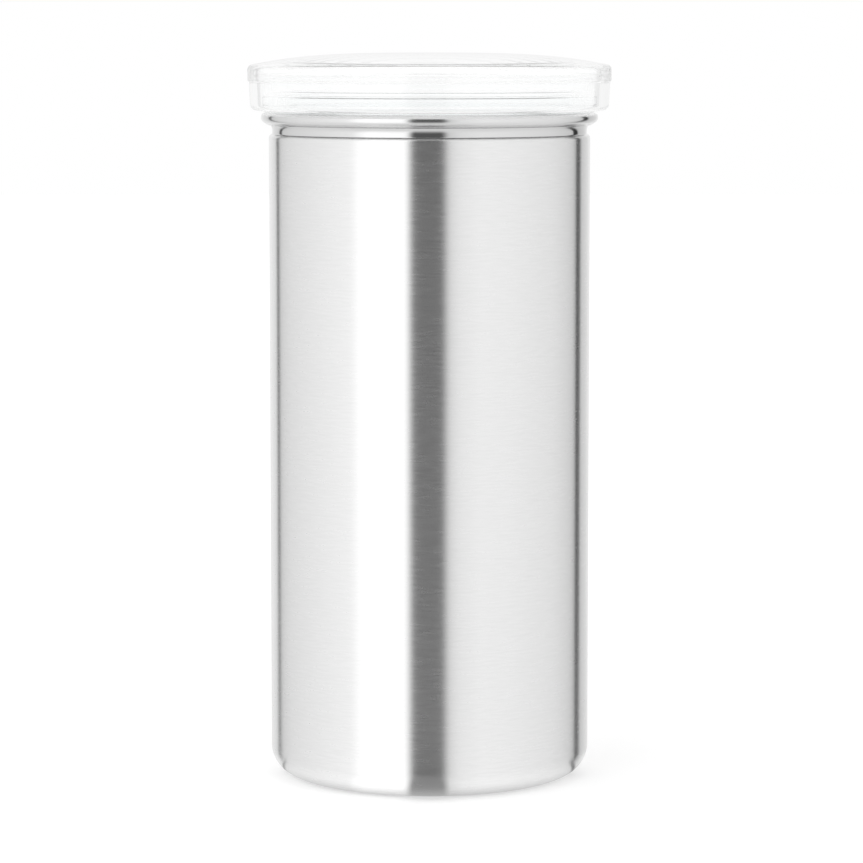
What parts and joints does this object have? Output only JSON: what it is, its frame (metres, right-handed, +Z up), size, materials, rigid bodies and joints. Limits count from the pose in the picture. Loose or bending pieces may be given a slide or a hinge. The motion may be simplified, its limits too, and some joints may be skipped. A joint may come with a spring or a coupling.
{
  "type": "coffee capsule canister",
  "caption": "Tall round steel canister with a rounded base, a necked and curled rim, and a clear domed lid with a seal ring that lifts off.",
  "frame": {"origin": "centre of the circle that the can stands on", "axes": "+Z up along the can's axis, which is also the way the lid lifts; the object is turned about Z, so X and Y are free"},
  "size_m": [0.11, 0.11, 0.22],
  "materials": {
    "brushed_steel": "fine brushing round the can, satin",
    "clear_plastic": "polished, water clear",
    "silicone": "translucent, satin"
  },
  "bodies": {
    "can": {"canister_body": "brushed_steel"},
    "lid_unit": {"lid": "clear_plastic", "lid_seal": "silicone"}
  },
  "joints": [
    {"name": "lid_lift", "type": "slide", "parent": "can", "child": "lid_unit", "axis": [0, 0, 1], "range_m": [0, 0.1]}
  ]
}
